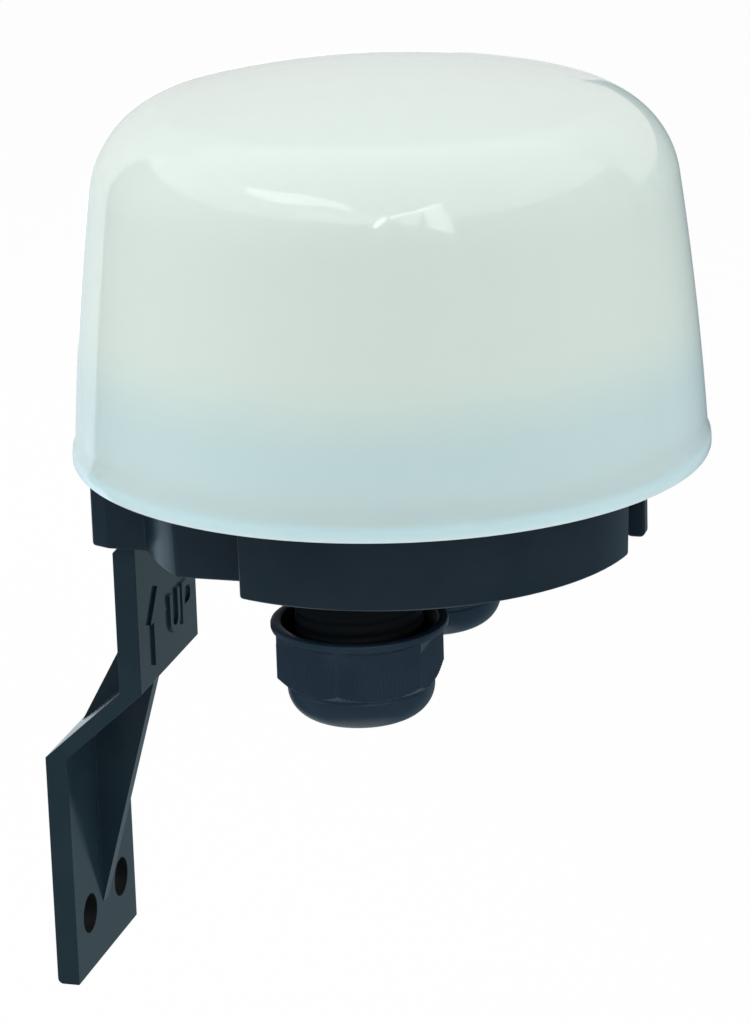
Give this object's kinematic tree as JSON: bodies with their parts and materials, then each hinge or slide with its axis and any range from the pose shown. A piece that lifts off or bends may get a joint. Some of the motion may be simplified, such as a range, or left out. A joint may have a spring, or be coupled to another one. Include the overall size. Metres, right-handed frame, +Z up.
{
  "type": "photocell switch",
  "caption": "Dusk-to-dawn photocell switch with a milky dome cover, black base with cable glands underneath, and a stepped wall bracket with screw holes.",
  "frame": {"origin": "midway between the two wall screw holes, on the bracket's wall face", "axes": "+Z up, +Y into the wall, X along the wall"},
  "size_m": [0.0806, 0.0849, 0.1215],
  "materials": {
    "milky_dome": "glossy translucent",
    "black_plastic": "satin moulded",
    "nut_plastic": "satin, ribbed",
    "seal_rubber": "soft matte",
    "slip_plastic": "natural",
    "board_green": "solder resist",
    "screw_steel": "zinc plated",
    "relay_case": "moulded",
    "film_case": "moulded box",
    "can_sleeve": "shrunk sleeve",
    "varistor_coat": "dipped",
    "black_epoxy": "moulded",
    "resistor_coat": "dipped",
    "sensor_face": "clear coated",
    "tinned_wire": "tinned",
    "terminal_plastic": "moulded",
    "clamp_brass": "plain"
  },
  "bodies": {
    "base": {"base_housing": "black_plastic", "wall_bracket": "black_plastic", "cover_seal": "seal_rubber", "circuit_board": "board_green", "board_screws": "screw_steel", "relay": "relay_case", "film_capacitor": "film_case", "electrolytic_capacitor": "can_sleeve", "varistor": "varistor_coat", "transistor": "black_epoxy", "rectifier_diodes": "black_epoxy", "resistors": "resistor_coat", "light_sensor": "sensor_face", "sensor_leads": "tinned_wire", "terminal_block": "terminal_plastic", "terminal_screws": "screw_steel", "terminal_clamps": "clamp_brass"},
    "cover": {"dome_cover": "milky_dome"},
    "gland_core_left": {"slip_washer_left": "slip_plastic", "gland_seal_left": "seal_rubber"},
    "gland_nut_left": {"gland_nut_left": "nut_plastic"},
    "gland_core_right": {"slip_washer_right": "slip_plastic", "gland_seal_right": "seal_rubber"},
    "gland_nut_right": {"gland_nut_right": "nut_plastic"}
  },
  "joints": [
    {"name": "cover_lift", "type": "slide", "parent": "base", "child": "cover", "axis": [0, 0, 1], "range_m": [0, 0.06]},
    {"name": "gland_feed_left", "type": "slide", "parent": "base", "child": "gland_core_left", "axis": [0, 0, 1], "range_m": [-0.00155, 0.00405]},
    {"name": "gland_turn_left", "type": "hinge", "parent": "gland_core_left", "child": "gland_nut_left", "pos_m": [-0.01725, -0.0446, 0.042], "axis": [0, 0, 1], "range_deg": [-360, 960]},
    {"name": "gland_feed_right", "type": "slide", "parent": "base", "child": "gland_core_right", "axis": [0, 0, 1], "range_m": [-0.00155, 0.00405]},
    {"name": "gland_turn_right", "type": "hinge", "parent": "gland_core_right", "child": "gland_nut_right", "pos_m": [0.01725, -0.0446, 0.042], "axis": [0, 0, 1], "range_deg": [-360, 960]}
  ],
  "couplings": [
    {"joint": "gland_feed_left", "follows": "gland_turn_left", "m_per_rad": 0.00023873},
    {"joint": "gland_feed_right", "follows": "gland_turn_right", "m_per_rad": 0.00023873}
  ]
}
